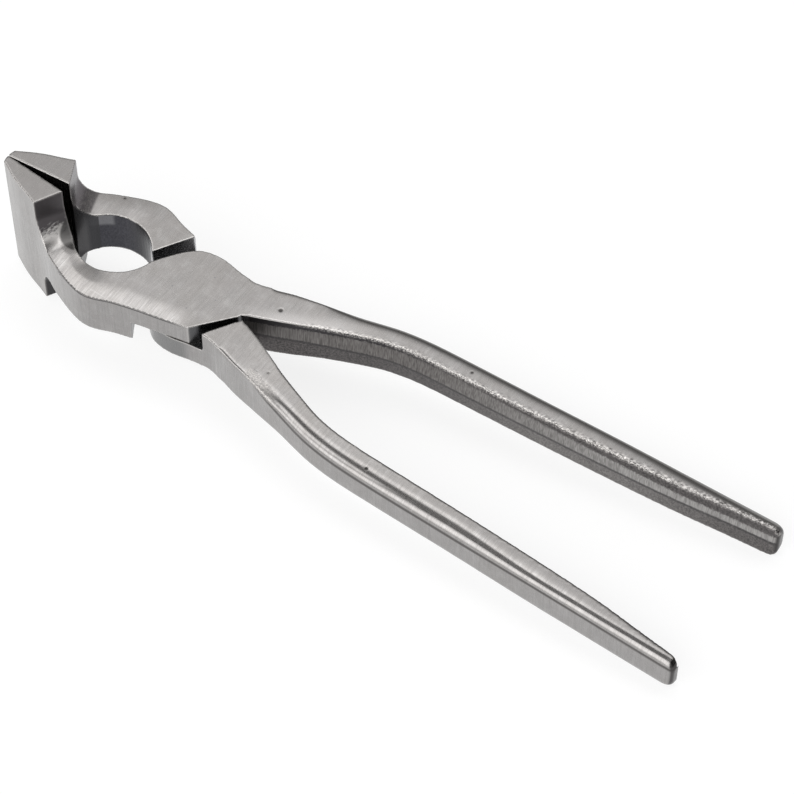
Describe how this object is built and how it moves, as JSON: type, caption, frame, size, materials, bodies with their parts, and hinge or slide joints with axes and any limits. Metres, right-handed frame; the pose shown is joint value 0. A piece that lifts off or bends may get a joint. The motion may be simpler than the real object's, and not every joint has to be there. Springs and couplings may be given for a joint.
{
  "type": "pliers",
  "caption": "Forged steel pliers with tall wedge jaws, a round throat behind them, a riveted lap joint and long bowed handles.",
  "frame": {"origin": "centre of the bounding box on the plane of the jaws' undersides", "axes": "+X from the jaw tips towards the handle ends, +Y towards the jaw of the lower arm, +Z along the rivet, up from the surface that the jaws stand on"},
  "size_m": [0.2, 0.0462, 0.0354],
  "materials": {
    "arm_steel": "satin, ground and brushed over a drop-forged skin",
    "rivet_steel": "satin, ground flush with the arms"
  },
  "bodies": {
    "lower": {"lower_arm": "arm_steel", "pivot_rivet": "rivet_steel"},
    "upper": {"upper_arm": "arm_steel"}
  },
  "joints": [
    {"name": "pivot", "type": "hinge", "parent": "lower", "child": "upper", "pos_m": [-0.04558, 0, 0.0177], "axis": [0, 0, 1], "range_deg": [0, 60]}
  ]
}
